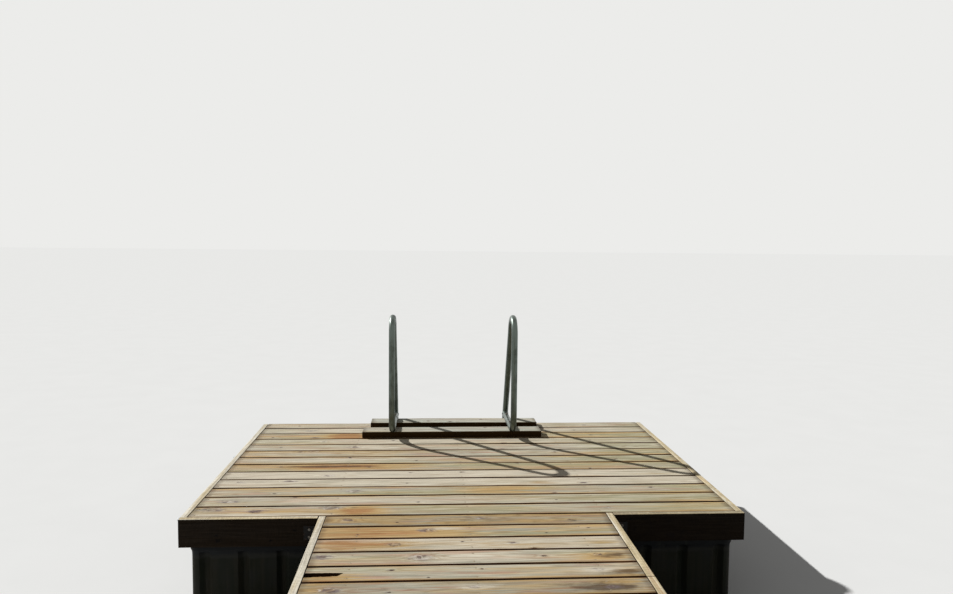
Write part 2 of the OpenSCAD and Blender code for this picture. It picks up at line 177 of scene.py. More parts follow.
class Pine(Material):
    """Sawn pine in the board's own frame: x along the grain, y across, z through. What it
    reads of each board comes from wood_data."""

    def __init__(self, name, palette, fade=1.0, relief=0.0006, grime_and_shade=1.0, saw=0.0):
        super().__init__(name, palette["grey"])
        self.palette = palette
        self.grain = self.attribute("grain")
        self.edge, self.iron, self.end = self.split(self.attribute("wear_and_shade"))
        self.warm, self.light, self.blotch = self.split(self.attribute("tone"))
        self.marks = self.split(self.attribute("marks", "Color"), "SeparateColor")
        self.sawn = self.noise(self.grain, (300, 30, 30), 2)
        self.cloud = self.noise(self.grain, (16, 34, 34), 4, 0.65)
        self.grow()
        self.weather_and_edge_light(saw)
        self.stain()
        self.knot()
        self.soil_and_shade_edges(grime_and_shade)
        # Side faces and undersides are darker: partly wood that the sun has not bleached, partly painted
        # shade, which darkens the gaps between boards and the outer faces of the rims.
        up = self.split(self.node("NewGeometry", output="Normal"))[2]
        self.paint(self.smooth(up, 0.75, 0.2) * fade, "side", "MULTIPLY")
        check = self.smooth(self.noise(self.fibre_at, (5, 330, 330), 2), 0.7, 0.78)
        self.paint(check * 0.55, "dark")
        self.surface(self.smooth(self.vein, 0.3, 0.7, 0.9, 0.72), specular=0.1)
        self.bump(self.late * 0.5 + self.fibre * 0.35 + self.vein * 0.5 - check * 1.6
                  - self.bark * 0.5 + self.sawn * saw, relief, 0.7)

    def paint(self, share, name, blend="MIX"):
        self.coat(share, self.palette[name], blend)

    def shade(self, share, level):
        """Multiplies the colour by a grey level round 1."""
        self.coat(share, self.node("CombineColor", level, level, level), "MULTIPLY")

    def knot_fields(self, wander):
        """Masks of all knots: heart, bark ring, halo and dead knots. Also how far the rings
        bend round them, and how far the fibres are pushed aside."""
        at_x, at_y, _ = self.split(self.grain + wander * (0.5, 0.5, 0.0))
        ragged = (self.noise(self.grain, (70, 130, 130), 3) - 0.5) * 1.5
        heart, bark, halo, dead, bend, push = (0.0,) * 6
        for name in KNOT_SLOTS:
            x, y, r = self.split(self.attribute(name))
            dx, dy, rr = at_x - x, at_y - y, r * r
            far_x, far_y = dx * dx, dy * dy
            near = self.math("SQRT", (far_x * 0.5 + far_y) / rr) + ragged
            wide = (far_x * 0.07 + far_y * 0.3) / rr * (ragged + 1.0)
            inside = self.smooth(near, 1.02, 0.75)
            ring = self.smooth(near, 0.8, 1.02) * self.smooth(near, 1.4, 1.08)
            spread = self.math("EXPONENT", wide * -1.0)
            heart = self.math("MAXIMUM", heart, inside)
            dead = self.math("MAXIMUM", dead, inside * self.smooth(r, 0.0085, 0.0065))
            bark = self.math("MAXIMUM", bark, ring)
            halo = self.math("MAXIMUM", halo, spread)
            bend = bend + spread * r * 0.5
            push = push + spread * (dy + dx * 0.12) * 0.75
        self.heart, self.bark, self.halo, self.dead = heart, bark, halo, dead
        return bend, push

    def grow(self):
        """Fibres and year rings round the pith, pushed aside by the knots."""
        wander = self.noise(self.grain, (1.6, 8, 8), 2, output="Color") - (0.5, 0.5, 0.5)
        wander = wander * (0.0, 0.028, 0.028)
        bend, push = self.knot_fields(wander)
        at = self.fibre_at = self.grain + wander - self.node("CombineXYZ", 0.0, push, 0.0)
        ring_x, ring_y, ring_step = self.split(self.attribute("rings"))
        _, wx, wy = self.split(wander)
        far = self.math("SQRT", (ring_x + wx) ** 2.0 + (ring_y + wy) ** 2.0)
        turn = (far + bend) / ring_step
        self.late = (self.math("SINE", turn * (2 * pi)) * 0.5 + 0.5) ** 2.5
        self.patch = self.noise(at, (1.6, 14, 14), 3)
        self.streak = self.noise(at, (2.2, 62, 62), 4, 0.6)
        self.vein = self.noise(at, (5.0, 170, 170), 3, 0.6)
        self.fibre = self.noise(at, (14, 900, 900), 2)
        self.rose = self.noise(at, (3.1, 40, 40), 3, 0.55)

    def weather_and_edge_light(self, saw):
        """Grey, green and honey streaks, pale veins, late wood and saw marks, and painted warm bounce
        light along the board edges.
        """
        smooth, rose, streak = self.smooth, self.rose, self.streak
        honey_mark, _, pale_mark = self.marks
        self.paint(smooth(self.patch, 0.38, 0.62), "beige")
        self.paint(smooth(rose, 0.5, 0.66) * 0.8, "rose")
        along, deep, _ = self.split(self.at)
        damp = smooth(along, 0.35, 1.1) * smooth(deep, 0.7, 0.8, 0.0, 0.15)
        moss = self.noise(self.fibre_at, (1.1, 9, 9), 3) + damp
        self.paint(smooth(moss, 0.48, 0.66) * 0.7, "green")
        # Painted warm bounce light: a honey tint that grows towards both edges of each board.
        painted_edge_bounce = smooth(self.edge, 0.026, 0.004) * smooth(rose, 0.3, 0.6, 0.1, 0.7)
        honey = ((streak - 0.5) * 2.0 + (self.patch - 0.5) * 2.6 + self.warm
                 + honey_mark * smooth(streak, 0.3, 0.6, 0.6, 1.1) + painted_edge_bounce)
        self.paint(smooth(honey, 0.0, 0.9), "honey")
        self.paint(smooth(honey, 1.0, 1.9), "orange")
        pale = ((self.vein - 0.5) * 2.0 + self.light + pale_mark * 1.3 - (rose - 0.5) * 1.5
                - honey_mark * 0.35)
        self.paint(smooth(pale, 0.0, 1.1), "pale")
        self.paint(self.late * 0.4, "late", "MULTIPLY")
        self.shade(0.85, smooth(self.vein * 0.6 + streak * 0.4, 0.36, 0.6, 0.72, 1.1))
        fine = smooth(self.fibre, 0.3, 0.7, 0.8, 1.05) * smooth(self.blotch, 0.0, 1.0, 1.0, 0.6)
        self.shade(0.7, fine * smooth(self.sawn, 0.35, 0.65, 1.0 - 0.28 * saw, 1.0 + 0.08 * saw))

    def stain(self):
        """Dark weathering, mould specks, and iron at the screws."""
        dark = self.marks[1] + (self.cloud - 0.5) * 1.5 + (self.streak - 0.5) + self.blotch - 0.35
        self.paint(self.smooth(dark, 0.2, 1.1) * 0.8, "dark")
        speck = self.noise(self.grain, (170, 330, 330), 2)
        mould = self.smooth(speck, 0.66, 0.74) * self.smooth(self.cloud, 0.47, 0.62)
        self.paint(mould * 0.45, "dark")
        self.paint(self.iron * 0.12, "iron")

    def knot(self):
        """Knots, in violet-grey and lavender strokes that follow the bent fibres."""
        smooth = self.smooth
        stroke = self.noise(self.fibre_at, (24, 80, 80), 4.0, 0.62, 1.1)
        violet = self.halo + self.attribute("marks", "Alpha") + (self.cloud - 0.5) * 1.3 - 0.38
        cloudy = smooth(violet, 0.0, 0.8)
        self.paint(cloudy * smooth(stroke, 0.58, 0.4, 0.12, 0.8), "violet")
        self.paint(cloudy * smooth(stroke, 0.52, 0.66, 0.0, 0.75), "lavender")
        self.paint(self.heart * smooth(stroke, 0.56, 0.4, 0.05, 0.7), "knot")
        broken = self.bark * (smooth(self.rose, 0.45, 0.6) * smooth(stroke, 0.54, 0.44))
        self.paint(self.math("MAXIMUM", broken, self.dead) * 0.8, "bark")

    def soil_and_shade_edges(self, grime_and_shade):
        """Dirt along the edges and over the end grain, and painted warm shade on the rounded edges next
        to the gaps.
        """
        rim = self.smooth(self.edge, 0.010, 0.0005) + (self.cloud - 0.5) * 0.8
        self.paint(self.smooth(rim, 0.35, 1.1) * grime_and_shade, "dark")
        # Painted shade: a warm dark brown on the last few millimetres of each edge, next to the gaps.
        self.paint(self.smooth(self.edge, 0.0065, 0.002) * (0.9 * grime_and_shade), "painted_edge_shade")
        ends = self.smooth(self.end, 0.05, 0.0) + (self.streak - 0.5) * 2.0
        self.paint(self.smooth(ends, 0.3, 1.3) * (0.6 * grime_and_shade), "dark")


# Each palette's side colour darkens side faces and undersides, partly as painted shade.
DECK = dict(
    grey=(190, 186, 166), beige=(194, 179, 148), rose=(196, 160, 136), green=(174, 172, 134),
    honey=(202, 172, 120), orange=(180, 136, 90), pale=(222, 213, 192), late=(196, 166, 134),
    violet=(116, 104, 108), lavender=(208, 199, 192), dark=(74, 56, 42), knot=(104, 84, 76),
    bark=(56, 36, 24), iron=(96, 84, 72), side=(78, 56, 36), painted_edge_shade=(88, 48, 6))
# The rims' side colour is near black: painted shade on their outer faces, over dark weathered wood. The
# back rim's colours below share it.
RIM = dict(
    DECK, grey=(224, 216, 196), beige=(230, 219, 198), rose=(220, 204, 178),
    green=(218, 210, 182), honey=(222, 204, 164), orange=(208, 176, 140),
    pale=(242, 236, 220), late=(226, 212, 188), side=(40, 33, 27))
COVERED = dict(DECK, side=RIM["side"])
FRAME = dict(
    DECK, grey=(140, 136, 104), beige=(150, 134, 98), rose=(150, 126, 92),
    green=(134, 132, 98), honey=(150, 120, 74), orange=(132, 96, 58), pale=(176, 164, 128),
    side=(190, 176, 150))
PLANK = dict(
    DECK, grey=(190, 192, 178), beige=(190, 186, 168), rose=(188, 174, 160),
    green=(180, 184, 166), honey=(190, 178, 150), orange=(172, 150, 120),
    pale=(214, 214, 202), side=(150, 124, 80), painted_edge_shade=(94, 80, 44))


# Other materials

def aluminium():
    """Tube and treads: drawn lines along the metal, dull oxide blotches, a few pits, and a
    film where it stands in the water. Its greys are darker and greener than bare
    aluminium: a painted dark reflection and painted shade."""
    # Painted reflection and shade: both greys of the metal are darkened and tinted green.
    m = Material("ladder_aluminium", (98, 107, 101))
    drawn = m.noise(m.at, (900, 900, 9), 2)
    oxide = m.noise(m.at, (22, 22, 9), 5, 0.65)
    pits = m.noise(m.at, (620, 620, 620), 1)
    dull = m.smooth(oxide, 0.42, 0.68)
    film = m.smooth(m.split(m.at)[2], 0.28, 0.16) * m.smooth(oxide, 0.3, 0.62)
    m.coat(dull, (72, 78, 72))
    m.coat(m.smooth(pits, 0.68, 0.78) * 0.5, (70, 68, 62))
    m.coat(film * 0.8, (92, 92, 66))
    m.surface(m.smooth(dull, 0.0, 1.0, 0.3, 0.5) + film * 0.25, metallic=0.9)
    m.bump(drawn * 0.6 - pits * 0.4, 0.0002, 0.4)
    return m.material


def galvanised():
    """Hot-dipped zinc: flat crystals of slightly different greys, white bloom in corners."""
    m = Material("galvanised_steel", (150, 154, 158))
    crystals = m.make("TexVoronoi", {"Vector": m.at * (150, 150, 150), "Scale": 1.0}, feature="F1")
    tint = m.split(Field(m, crystals.outputs["Color"]))[0]
    bloom = m.noise(m.at, (60, 60, 60), 4, 0.6)
    rusty = m.smooth(m.noise(m.at, (36, 36, 36), 5, 0.7), 0.66, 0.78)
    m.coat(tint, (186, 189, 190))
    m.coat(m.smooth(bloom, 0.55, 0.75) * 0.6, (208, 208, 202))
    m.coat(rusty * 0.7, (122, 78, 46))
    m.surface(m.smooth(tint, 0, 1, 0.38, 0.52) + rusty * 0.3, metallic=0.85)
    m.bump(tint * 0.3 + bloom, 0.0004, 0.35)
    return m.material


def painted_steel():
    """Black bitumen paint, brushed on thick, with rust breaking through in spots."""
    m = Material("painted_steel", (24, 23, 22))
    brushed = m.noise(m.at, (40, 40, 260), 3)
    rusty = m.smooth(m.noise(m.at, (55, 55, 40), 5, 0.7), 0.58, 0.68)
    m.coat(m.smooth(brushed, 0.35, 0.7), (40, 38, 36))
    m.coat(rusty * 0.8, (84, 52, 34))
    m.surface(m.smooth(brushed, 0.3, 0.7, 0.62, 0.78), specular=0.15)
    m.bump(brushed * 0.6 + rusty, 0.0003, 0.5)
    return m.material


def moulded_plastic():
    """Rotomoulded float: fine orange peel, chalky bloom, and a film below the water line."""
    m = Material("float_polyethylene", (20, 21, 22))
    peel = m.noise(m.at, (420, 420, 420), 2)
    chalk = m.noise(m.at, (9, 9, 14), 5, 0.6)
    runs = m.noise(m.at, (38, 38, 2.2), 3)
    line = m.split(m.at)[2] + (chalk - 0.5) * 0.03
    under = m.smooth(line, WATER + 0.003, WATER - 0.009)
    tide = m.smooth(line, WATER + 0.021, WATER + 0.005) * m.smooth(line, WATER - 0.009, WATER + 0.001)
    weed = m.mix(m.smooth(runs, 0.35, 0.65), (24, 27, 18), (36, 34, 25))
    m.coat(m.smooth(chalk, 0.4, 0.7), (33, 35, 36))
    m.coat(m.smooth(runs, 0.55, 0.75) * 0.35, (50, 50, 46))
    m.coat(under * m.smooth(chalk, 0.25, 0.6, 0.45, 0.95), weed)
    m.coat(tide * 0.35, (54, 53, 45))
    m.surface(m.smooth(chalk, 0.3, 0.7, 0.6, 0.8), specular=0.12)
    m.bump(peel + under * (chalk * 2.0), 0.0005, 0.35)
    return m.material


def rubber():
    """Black rubber of the ladder's end caps, scuffed grey where it rubs."""
    m = Material("black_rubber", (36, 37, 38))
    scuff = m.noise(m.at, (90, 90, 30), 4, 0.7)
    m.coat(m.smooth(scuff, 0.5, 0.72), (88, 88, 84))
    m.surface(m.smooth(scuff, 0.3, 0.7, 0.6, 0.85), specular=0.35)
    m.bump(m.noise(m.at, (700, 700, 700), 2), 0.0003, 0.4)
    return m.material


def coated_screws():
    """Deck screws with a tan coating, rubbed and weathered like the boards round them."""
    m = Material("coated_screws", (184, 166, 136))
    worn = m.noise(m.at, (300, 300, 300), 3, 0.6)
    m.coat(m.smooth(worn, 0.42, 0.62), (150, 134, 110))
    m.surface(m.smooth(worn, 0.3, 0.7, 0.5, 0.72), specular=0.3)
    m.bump(worn, 0.0002, 0.4)
    return m.material


def bolt_steel():
    """Zinc-plated bolts, gone dull, with brown spots."""
    m = Material("fastener_steel", (112, 110, 104))
    spot = m.noise(m.at, (260, 260, 260), 3, 0.6)
    m.coat(m.smooth(spot, 0.4, 0.66), (84, 70, 56))
    m.surface(m.smooth(spot, 0.3, 0.7, 0.42, 0.62), metallic=0.8)
    m.bump(spot, 0.0002, 0.4)
    return m.material


# Mesh helpers

def new_object(name, points, faces):
    mesh = bpy.data.meshes.new(name)
    mesh.from_pydata([tuple(p) for p in points], [], faces)
    thing = bpy.data.objects.new(name, mesh)
    bpy.context.scene.collection.objects.link(thing)
    return thing


def make_piece(name, points, faces, material, slot, *nodes, smooth_angle=35):
    """A piece of the jetty, which stands for the CAD nodes named."""
    piece = new_object(name, points, faces)
    mesh = piece.data
    mesh.materials.append(material)
    mesh.polygons.foreach_set("use_smooth", [True] * len(mesh.polygons))
    mesh.set_sharp_from_angle(angle=radians(smooth_angle))
    mesh.update()
    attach(piece, "root")
    if nodes:
        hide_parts(*nodes)
    return piece


def skin(lower, upper, n):
    """Faces between two rings of n points, each given by its first point's number."""
    return [(lower + k, lower + (k + 1) % n, upper + (k + 1) % n, upper + k) for k in range(n)]


def lid(first, n):
    """One face over a ring of n points."""
    return [tuple(range(first, first + n))]


def base(first, n):
    """One face under a ring of n points."""
    return [tuple(reversed(range(first, first + n)))]


class Heap:
    """Points and faces of several closed solids that make one piece."""

    def __init__(self):
        self.points, self.faces, self.count = [], [], 0

    def put(self, points, faces):
        points = np.asarray(points, float)
        self.faces += [tuple(i + self.count for i in f) for f in faces]
        self.points.append(points)
        self.count += len(points)

    def object(self, name, material, slot, *nodes, **more):
        return make_piece(name, np.concatenate(self.points), self.faces, material, slot, *nodes, **more)


WASHER_T = 0.0024
EDGE_EASE = 0.0006


def hex_bolt(centre, normal, across, height, washer):
    """Bolt head on a round washer. Centre is on the surface that it clamps."""
    normal = Vector(normal).normalized()
    side = normal.orthogonal().normalized()
    other = normal.cross(side)
    corner = across / 2 / cos(pi / 6)
    stacks = ((24, ((washer, 0), (washer, WASHER_T - EDGE_EASE), (washer * 0.96, WASHER_T))),
              (6, ((corner, 0.0022), (corner, height * 0.85), (corner * 0.86, height))))
    points, faces = [], []
    for n, rings in stacks:
        first = len(points)
        for r, z in rings:
            for k in range(n):
                a = 2 * pi * k / n
                points.append(Vector(centre) + side * (r * cos(a)) + other * (r * sin(a)) + normal * z)
        faces += base(first, n) + skin(first, first + n, n)
        faces += skin(first + n, first + 2 * n, n) + lid(first + 2 * n, n)
    return np.array([tuple(p) for p in points]), faces


PLANK_BOLT = {"across": 0.013, "height": 0.007, "washer": 0.0085}
PLATE_BOLT = {"across": 0.010, "height": 0.005, "washer": 0.0065}


def sweep(path, radius, segments, closed=False):
    """Round section of one or varying radius, carried along a path of points."""
    path = [Vector(p) for p in path]
    n = len(path)
    radii = radius if hasattr(radius, "__len__") else [radius] * n
    points, faces = [], []
    up = None
    for i, p in enumerate(path):
        before = path[i - 1] if i or closed else p
        after = path[(i + 1) % n] if i < n - 1 or closed else p
        along = (after - before).normalized()
        up = along.orthogonal() if up is None else up - along * up.dot(along)
        up.normalize()
        side = along.cross(up)
        for k in range(segments):
            a = 2 * pi * k / segments
            points.append(p + (up * cos(a) + side * sin(a)) * radii[i])
    for i in range(n if closed else n - 1):
        faces += skin(i * segments, (i + 1) % n * segments, segments)
    if not closed:
        faces += base(0, segments) + lid((n - 1) * segments, segments)
    return np.array([tuple(p) for p in points]), faces


SAME_POINT = 1e-6
SHARP = radians(40)


def cad_mesh(node):
    """An editable copy of a CAD node's mesh, with its solids joined up."""
    work = bmesh.new()
    work.from_mesh(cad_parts[node].data)
    bmesh.ops.remove_doubles(work, verts=work.verts, dist=SAME_POINT)
    return work


def soft_copy(name, node, material, bevel, slot):
    """A CAD node's own solid with its corners rounded off."""
    work = cad_mesh(node)
    bmesh.ops.dissolve_limit(work, angle_limit=radians(1), verts=work.verts, edges=work.edges)
    sharp = [e for e in work.edges if len(e.link_faces) == 2 and e.calc_face_angle(0) > SHARP]
    bmesh.ops.bevel(work, geom=sharp, offset=bevel, segments=2, affect="EDGES",
                    profile=0.6, clamp_overlap=True)
    points = [tuple(v.co) for v in work.verts]
    work.verts.index_update()
    faces = [tuple(v.index for v in f.verts) for f in work.faces]
    work.free()
    return make_piece(name, points, faces, material, slot, node)


def solids_of(node):
    """Boxes of the separate solids in one CAD node."""
    work = cad_mesh(node)
    left, boxes = set(work.verts), []
    while left:
        stack, found = [left.pop()], []
        while stack:
            v = stack.pop()
            found.append(v.co.copy())
            near = {e.other_vert(v) for e in v.link_edges} & left
            left -= near
            stack += near
        boxes.append((Vector([min(c[i] for c in found) for i in range(3)]),
                      Vector([max(c[i] for c in found) for i in range(3)])))
    work.free()
    return sorted(boxes, key=lambda b: tuple(round(c, 4) for c in b[0]))


# Boards

SCREW_R = 0.0042
SCREW_IN = 0.024
DIMPLE = 0.0006
DIMPLE_R = 0.0066
DIMPLE_SLOPE = 0.0024
# Rows of points round each screw, and how far the board's even rows keep off
FINE = (-0.0065, -0.0042, 0.0, 0.0042, 0.0065)
FINE_CLEAR = 0.009
ROW_STEP, COLUMN_STEP = 0.045, 0.016
LIFT = 0.0006
NICKS = 0.0005


def slow_wave(rng, lengths, height):
    """A smooth random curve: a sum of sines of the given wavelengths."""
    parts = [(height * rng.uniform(0.5, 1.0) / (k + 1), 2 * pi / length,
              rng.uniform(0, 2 * pi)) for k, length in enumerate(lengths)]
    return lambda s: sum(a * np.sin(f * s + p) for a, f, p in parts)


def with_details(even, centres):
    """Sorted values: the even ones kept clear of the centres, and each centre's own."""
    centres = sorted(set(centres))
    kept = [e for e in even if all(abs(e - c) > FINE_CLEAR for c in centres)]
    return np.array(sorted(kept + [c + o for c in centres for o in FINE]))


class Board:
    """One board in its own frame: u along it, v across it, w through its thickness."""

    def __init__(self, rng, length, width, thick, ease=0.002, crook=0.0012, cup=0.0005, screws=()):
        self.rng, self.length, self.width, self.thick = rng, length, width, thick
        self.screws = list(screws)
        self.marks, self.knots = [], []
        self.tone = (rng.uniform(-0.25, 0.25), rng.uniform(-0.15, 0.35), rng.uniform(-0.3, 0.1))
        self.build(ease, crook, cup)

    def rows(self, bevel):
        n = max(4, round(self.length / ROW_STEP))
        inner = with_details([self.length * k / n for k in range(1, n)], [u for u, _ in self.screws])
        return np.concatenate([[0, bevel], inner, [self.length - bevel, self.length]])

    def columns(self, ease):
        """Places across the board, and how far its rounded edges fall there."""
        turns = [radians(a) for a in (0, 30, 60, 90)]
        inset = [ease * (1 - cos(a)) for a in turns]
        fall = [ease * (1 - sin(a)) for a in turns]
        flat = self.width - 2 * ease
        n = max(2, round(flat / COLUMN_STEP))
        inner = with_details([ease + flat * k / n for k in range(1, n)], [v for _, v in self.screws])
        return (np.concatenate([inset, inner, [self.width - v for v in reversed(inset)]]),
                np.concatenate([fall, np.zeros(len(inner)), fall[::-1]]))

    def build(self, ease, crook, cup):
        width, thick = self.width, self.thick
        bevel = min(ease * 0.6, 0.002)
        us = self.rows(bevel)
        vs, drop = self.columns(ease)
        side = slow_wave(self.rng, (1.9, 0.8, 0.31), crook)
        lift = slow_wave(self.rng, (2.3, 0.9, 0.35), LIFT)
        nick = slow_wave(self.rng, (0.09, 0.041, 0.023), NICKS)
        u, v = np.meshgrid(us, vs, indexing="ij")
        across = (v - width / 2) / (width / 2)
        cup *= self.rng.choice([-1, 1])
        rise = lift(u) + cup * (across ** 2 - 0.5)
        edge = np.minimum(drop / ease, 1.0)[None, :]
        inward = np.sign(-across) * edge * np.abs(nick(u + 7 * across))
        end = np.where(np.minimum(us, self.length - us) < SAME_POINT, bevel, 0)[:, None]
        dent = np.zeros_like(u)
        for su, sv in self.screws:
            near = (DIMPLE_R - np.hypot(u - su, v - sv)) / DIMPLE_SLOPE
            dent = np.maximum(dent, DIMPLE * np.clip(near, 0, 1))
        squeeze = 1 - end / (width / 2)
        v_out = width / 2 + (v - width / 2) * squeeze + inward + side(u)
        top = thick - drop[None, :] - end + rise - dent
        low = drop[None, :] + end + rise * 0.6 + 0 * u
        self.points = np.concatenate([np.stack([u, v_out, w], 2).reshape(-1, 3) for w in (top, low)])
        self.faces = self.grid_faces(*u.shape)
        self.top_at = lambda su, sv: thick + lift(su) + cup * (
            ((sv - width / 2) / (width / 2)) ** 2 - 0.5)
        self.side_at = side

    def grid_faces(self, rows, cols):
        """Faces of the top and bottom grids, and of the four sides between them."""
        def at(i, j, low=0):
            return i * cols + j + low * rows * cols
        faces = []
        last = cols - 1
        for i in range(rows - 1):
            for j in range(last):
                faces.append((at(i, j), at(i + 1, j), at(i + 1, j + 1), at(i, j + 1)))
                faces.append((at(i, j, 1), at(i, j + 1, 1), at(i + 1, j + 1, 1), at(i + 1, j, 1)))
            faces.append((at(i, 0), at(i, 0, 1), at(i + 1, 0, 1), at(i + 1, 0)))
            faces.append((at(i, last), at(i + 1, last), at(i + 1, last, 1), at(i, last, 1)))
        i = rows - 1
        for j in range(last):
            faces.append((at(0, j), at(0, j + 1), at(0, j + 1, 1), at(0, j, 1)))
            faces.append((at(i, j), at(i, j, 1), at(i, j + 1, 1), at(i, j + 1)))
        return faces


def wood_data(board):
    """What the timber shader reads at each point of a board."""
    rng, p = board.rng, board.points
    u, v, w = p[:, 0], p[:, 1] - board.width / 2, p[:, 2]
    shift = rng.uniform(-40, 40, 3)
    pith = (rng.uniform(-0.05, 0.05), rng.choice([-1, 1]) * rng.uniform(0.015, 0.09))
    taper = rng.uniform(-0.012, 0.012)
    n = len(p)
    step = np.full(n, rng.uniform(0.0026, 0.0048))
    data = {"grain": np.stack([u, v, w], 1) + shift, "tone": np.tile(board.tone, (n, 1)),
            "rings": np.stack([v - pith[0], w - pith[1] - taper * u, step], 1)}
    knots = [(k[0], k[1] - board.width / 2, k[2]) for k in board.knots]
    spare = len(KNOT_SLOTS) - len(knots)
    knots += [(rng.uniform(0.05, 0.95) * board.length, rng.uniform(-0.4, 0.4) * board.width,
               rng.choice([0.004, 0.007, 0.010, 0.013])) for _ in range(spare)]
    for name, (ku, kv, r) in zip(KNOT_SLOTS, knots):
        data[name] = np.tile((ku + shift[0], kv + shift[1], r), (n, 1))
    edge = np.minimum(v + board.width / 2, board.width / 2 - v)
    end = np.minimum(u, board.length - u)
    iron = np.zeros(n)
    for su, sv in board.screws:
        d = np.hypot((u - su) / 1.5, v + board.width / 2 - sv)
        iron = np.maximum(iron, np.exp(-(d / 0.006) ** 2))
    data["wear_and_shade"] = np.stack([edge, iron * (w > board.thick / 2), end], 1)
    marks = np.zeros((n, 4))
    for kind, mu, long, mv, wide, strength in board.marks:
        d = ((u - mu) / long) ** 2 + ((v + board.width / 2 - mv) / wide) ** 2
        marks[:, MARK_KINDS.index(kind)] += strength * np.exp(-d)
    data["marks"] = marks
    return data


def write_wood_data(piece, data):
    """Stores the timber shader's data at the points of a piece."""
    for key, values in data.items():
        colour = values.shape[1] == 4
        layer = piece.data.attributes.new(key, "FLOAT_COLOR" if colour else "FLOAT_VECTOR", "POINT")
        layer.data.foreach_set("color" if colour else "vector", values.astype(np.float32).ravel())


class Timber(Heap):
    """A heap of boards, with the grain data of each. Their screws go on a heap of screws."""

    def __init__(self, screws=None):
        super().__init__()
        self.data, self.screws = [], screws

    def add(self, board, corner, along, across):
        """Lays a board down from its corner. Its thickness is along x across."""
        axes = np.array([along, across, along.cross(across)])
        self.data.append(wood_data(board))
        self.put(board.points @ axes + np.array(corner), board.faces)
        for su, sv in board.screws:
            points, faces = screw_head(board.rng)
            place = np.array([su, sv + board.side_at(su), board.top_at(su, sv) - DIMPLE])
            self.screws.put((points + place) @ axes + np.array(corner), faces)

    def object(self, name, material, slot, *nodes):
        piece = super().object(name, material, slot, *nodes)
        write_wood_data(piece, {key: np.concatenate([d[key] for d in self.data])
                                for key in self.data[0]})


def screw_head(rng):
    """Countersunk head with a star recess, its underside at height 0."""
    n = 12
    turn = rng.uniform(0, 2 * pi)
    rings = [(SCREW_R, -0.0012, 0), (SCREW_R, 0.0002, 0), (SCREW_R * 0.93, 0.0005, 0),
             (SCREW_R * 0.5, 0.0006, 0.22), (SCREW_R * 0.42, -0.0006, 0.22)]
    points, faces = [], base(0, n)
    for r, z, lobes in rings:
        for k in range(n):
            a = turn + 2 * pi * k / n
            reach = r * (1 + lobes * (1 if k % 2 else -1) * 0.5)
            points.append((reach * cos(a), reach * sin(a), z))
    for ring in range(len(rings) - 1):
        faces += skin(ring * n, (ring + 1) * n, n)
    return np.array(points), faces + lid((len(rings) - 1) * n, n)


# Decks

